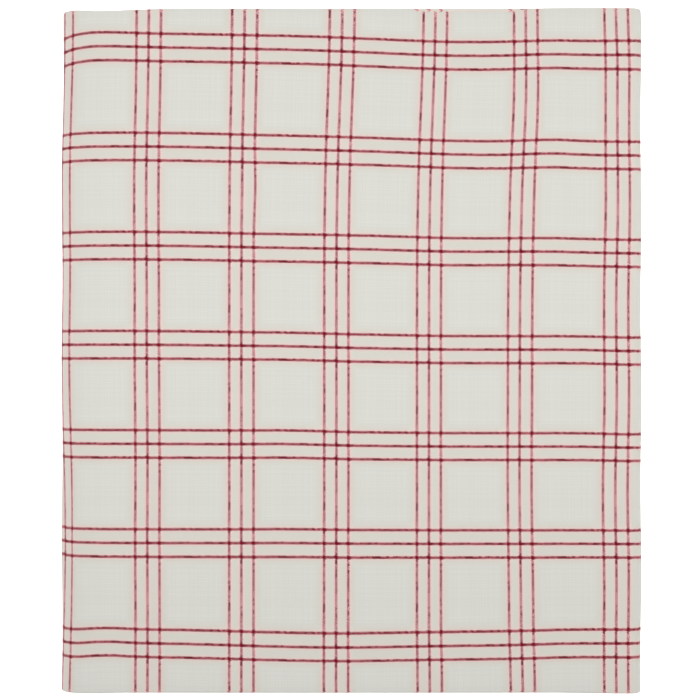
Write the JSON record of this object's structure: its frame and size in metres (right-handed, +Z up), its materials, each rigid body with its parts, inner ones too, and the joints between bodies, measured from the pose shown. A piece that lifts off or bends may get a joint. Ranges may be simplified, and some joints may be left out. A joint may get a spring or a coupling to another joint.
{
  "type": "folded tablecloth",
  "caption": "Rectangular checked cotton tablecloth folded flat into a rectangular pack, with rounded folds at its sides and its layers showing at its edges.",
  "frame": {"origin": "centre of the pack's footprint, on the surface that it lies on", "axes": "+X across the pack, towards the side where the hemmed ends of the folded strip lie, +Y along the pack's longer side, +Z up through its layers"},
  "size_m": [0.3024, 0.3562, 0.025],
  "materials": {
    "cloth": "matte plain weave, off-white with a red windowpane check"
  },
  "bodies": {
    "root": {"tablecloth": "cloth"}
  },
  "joints": []
}
